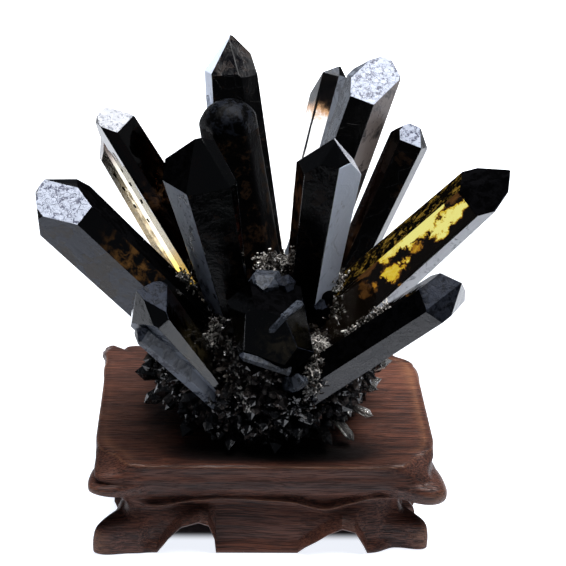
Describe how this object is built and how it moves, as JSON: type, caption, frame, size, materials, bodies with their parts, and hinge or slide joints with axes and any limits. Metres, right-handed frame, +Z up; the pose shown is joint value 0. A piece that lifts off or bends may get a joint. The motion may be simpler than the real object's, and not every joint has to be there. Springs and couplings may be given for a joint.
{
  "type": "morion quartz cluster on a wooden stand",
  "caption": "Cluster of smoky black quartz crystals radiating from a druse of small points, resting on a low carved dark wood stand with arched feet.",
  "frame": {"origin": "on the table under the middle of the whole object's box", "axes": "+Z up; -Y to the front of the stand, where the stubby crystal points; +X to the right seen from the front"},
  "size_m": [0.1548, 0.1118, 0.1641],
  "materials": {
    "wood": "oiled dark open-grained hardwood, satin, edges worn lighter",
    "druse": "crust of small sparkling smoky quartz points on pale brown rock",
    "morion": "glossy natural crystal faces, nearly black, clear and icy near some tips and edges",
    "amber_quartz": "glossy natural crystal faces, dark tip, clear with yellow amber colour inside"
  },
  "bodies": {
    "root": {"wooden_stand": "wood", "druse_matrix": "druse", "crystal_tall_back": "morion", "crystal_domed": "morion", "crystal_centre_left": "morion", "crystal_centre_right": "morion", "crystal_upper_right": "morion", "crystal_left_pair": "morion", "crystal_upper_right_back": "morion", "crystal_right": "morion", "crystal_amber": "amber_quartz", "crystal_lower_left": "morion", "crystal_far_left": "morion", "crystal_lower_right": "morion", "crystal_front": "morion"}
  },
  "joints": []
}
